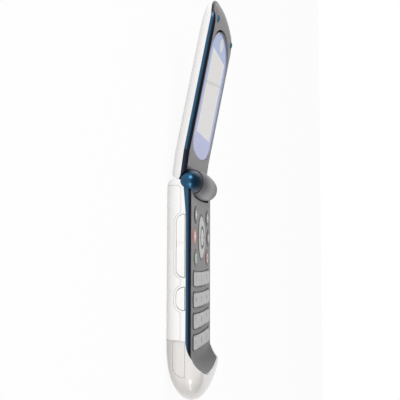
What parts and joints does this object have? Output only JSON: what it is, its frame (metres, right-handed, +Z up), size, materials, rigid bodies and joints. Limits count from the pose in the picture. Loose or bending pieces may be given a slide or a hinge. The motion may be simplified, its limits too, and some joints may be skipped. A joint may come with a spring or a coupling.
{
  "type": "flip phone",
  "caption": "Small white and grey flip phone lying open on its back: hinged lid with display, round and curved keys, navigation ring, side keys and a raised chin",
  "frame": {"origin": "centre of the battery cover's flat rest face, on which the open phone lies", "axes": "+X to the user's right, +Y from the chin towards the lid's tip, +Z up out of the keypad"},
  "size_m": [0.05, 0.1754, 0.0224],
  "materials": {
    "white_shell": "smooth white gloss",
    "grey_shell": "fine satin grey",
    "blue_trim": "metallic blue gloss",
    "bumper_rubber": "soft blue rubber",
    "keymat_rubber": "translucent silicone",
    "steel": "stamped and drawn steel",
    "screw_steel": "plated steel",
    "board": "green solder mask",
    "battery_case": "dark wrap",
    "sound_parts": "moulded black",
    "inner_plastic": "moulded grey",
    "ribbon": "amber film",
    "window": "clear coated window",
    "key_grey": "silver grey gloss",
    "key_pink": "pink gloss",
    "key_green": "pale green gloss",
    "key_red": "pale red gloss"
  },
  "bodies": {
    "base": {"rear_housing": "white_shell", "battery_cover": "white_shell", "keypad_housing": "grey_shell", "trim_left": "blue_trim", "trim_right": "blue_trim", "chin_cap": "white_shell", "hinge_cap_left": "blue_trim", "hinge_cap_right": "blue_trim", "hinge_shaft": "steel", "hinge_pin": "steel", "keymat": "keymat_rubber", "dome_sheet": "steel", "circuit_board": "board", "rf_shield": "steel", "battery": "battery_case", "sim_holder": "steel", "microphone": "sound_parts", "ringer": "sound_parts", "vibration_motor": "steel", "side_connector": "steel", "antenna": "inner_plastic", "housing_screws": "screw_steel"},
    "lid": {"lid_outer_shell": "white_shell", "lid_front_frame": "grey_shell", "lid_trim_left": "blue_trim", "lid_trim_right": "blue_trim", "lid_trim_lower": "blue_trim", "display_window": "window", "display_module": "inner_plastic", "earpiece": "sound_parts", "ear_mesh": "sound_parts", "lid_bumpers": "bumper_rubber", "lid_screws": "screw_steel", "hinge_capsule": "steel", "hinge_spring": "steel", "hinge_flex": "ribbon"},
    "cover_flap": {"connector_cover": "white_shell"},
    "volume_key": {"volume_key": "white_shell"},
    "side_key": {"side_key": "white_shell"},
    "nav_web": {"nav_web": "inner_plastic"},
    "nav_ring": {"nav_ring": "key_grey"},
    "select_key": {"select_key": "key_grey"},
    "softkey_left": {"softkey_left": "key_grey"},
    "softkey_right": {"softkey_right": "key_grey"},
    "clear_key": {"clear_key": "key_pink"},
    "voice_key": {"voice_key": "key_grey"},
    "send_key": {"send_key": "key_green"},
    "end_key": {"end_key": "key_red"},
    "key_1": {"key_1": "key_grey"},
    "key_2": {"key_2": "key_grey"},
    "key_3": {"key_3": "key_grey"},
    "key_4": {"key_4": "key_grey"},
    "key_5": {"key_5": "key_grey"},
    "key_6": {"key_6": "key_grey"},
    "key_7": {"key_7": "key_grey"},
    "key_8": {"key_8": "key_grey"},
    "key_9": {"key_9": "key_grey"},
    "key_star": {"key_star": "key_grey"},
    "key_0": {"key_0": "key_grey"},
    "key_hash": {"key_hash": "key_grey"}
  },
  "joints": [
    {"name": "lid_hinge", "type": "hinge", "parent": "base", "child": "lid", "pos_m": [0, 0.03715, 0.0099], "axis": [1, 0, 0], "range_deg": [0, 168.7]},
    {"name": "cover_hinge", "type": "hinge", "parent": "base", "child": "cover_flap", "pos_m": [-0.02345, -0.04255, 0.0064], "axis": [0, 0, 1], "range_deg": [0, 90]},
    {"name": "volume_rock", "type": "hinge", "parent": "base", "child": "volume_key", "pos_m": [-0.0225, 0.01035, 0.007], "axis": [0, 0, 1], "range_deg": [-1.4, 1.4], "stiffness_Nm_per_rad": 0.05},
    {"name": "side_press", "type": "slide", "parent": "base", "child": "side_key", "axis": [1, 0, 0], "range_m": [0, 0.00035], "stiffness_N_per_m": 400},
    {"name": "nav_pitch", "type": "hinge", "parent": "base", "child": "nav_web", "pos_m": [0, 0.01435, 0.00905], "axis": [1, 0, 0], "range_deg": [-1.1, 1.1], "stiffness_Nm_per_rad": 0.05},
    {"name": "nav_roll", "type": "hinge", "parent": "nav_web", "child": "nav_ring", "pos_m": [0, 0.01435, 0.00905], "axis": [0, 1, 0], "range_deg": [-1.1, 1.1], "stiffness_Nm_per_rad": 0.05},
    {"name": "select_press", "type": "slide", "parent": "base", "child": "select_key", "axis": [0, 0, -1], "range_m": [0, 0.0003], "stiffness_N_per_m": 400},
    {"name": "softkey_left_press", "type": "slide", "parent": "base", "child": "softkey_left", "axis": [0, 0, -1], "range_m": [0, 0.00035], "stiffness_N_per_m": 400},
    {"name": "softkey_right_press", "type": "slide", "parent": "base", "child": "softkey_right", "axis": [0, 0, -1], "range_m": [0, 0.00035], "stiffness_N_per_m": 400},
    {"name": "clear_key_press", "type": "slide", "parent": "base", "child": "clear_key", "axis": [0, 0, -1], "range_m": [0, 0.00035], "stiffness_N_per_m": 400},
    {"name": "voice_key_press", "type": "slide", "parent": "base", "child": "voice_key", "axis": [0, 0, -1], "range_m": [0, 0.00035], "stiffness_N_per_m": 400},
    {"name": "send_key_press", "type": "slide", "parent": "base", "child": "send_key", "axis": [0, 0, -1], "range_m": [0, 0.00035], "stiffness_N_per_m": 400},
    {"name": "end_key_press", "type": "slide", "parent": "base", "child": "end_key", "axis": [0, 0, -1], "range_m": [0, 0.00035], "stiffness_N_per_m": 400},
    {"name": "key_1_press", "type": "slide", "parent": "base", "child": "key_1", "axis": [0, 0, -1], "range_m": [0, 0.00035], "stiffness_N_per_m": 400},
    {"name": "key_2_press", "type": "slide", "parent": "base", "child": "key_2", "axis": [0, 0, -1], "range_m": [0, 0.00035], "stiffness_N_per_m": 400},
    {"name": "key_3_press", "type": "slide", "parent": "base", "child": "key_3", "axis": [0, 0, -1], "range_m": [0, 0.00035], "stiffness_N_per_m": 400},
    {"name": "key_4_press", "type": "slide", "parent": "base", "child": "key_4", "axis": [0, 0, -1], "range_m": [0, 0.00035], "stiffness_N_per_m": 400},
    {"name": "key_5_press", "type": "slide", "parent": "base", "child": "key_5", "axis": [0, 0, -1], "range_m": [0, 0.00035], "stiffness_N_per_m": 400},
    {"name": "key_6_press", "type": "slide", "parent": "base", "child": "key_6", "axis": [0, 0, -1], "range_m": [0, 0.00035], "stiffness_N_per_m": 400},
    {"name": "key_7_press", "type": "slide", "parent": "base", "child": "key_7", "axis": [0, 0, -1], "range_m": [0, 0.00035], "stiffness_N_per_m": 400},
    {"name": "key_8_press", "type": "slide", "parent": "base", "child": "key_8", "axis": [0, 0, -1], "range_m": [0, 0.00035], "stiffness_N_per_m": 400},
    {"name": "key_9_press", "type": "slide", "parent": "base", "child": "key_9", "axis": [0, 0, -1], "range_m": [0, 0.00035], "stiffness_N_per_m": 400},
    {"name": "key_star_press", "type": "slide", "parent": "base", "child": "key_star", "axis": [0, 0, -1], "range_m": [0, 0.00035], "stiffness_N_per_m": 400},
    {"name": "key_0_press", "type": "slide", "parent": "base", "child": "key_0", "axis": [0, 0, -1], "range_m": [0, 0.00035], "stiffness_N_per_m": 400},
    {"name": "key_hash_press", "type": "slide", "parent": "base", "child": "key_hash", "axis": [0, 0, -1], "range_m": [0, 0.00035], "stiffness_N_per_m": 400}
  ]
}
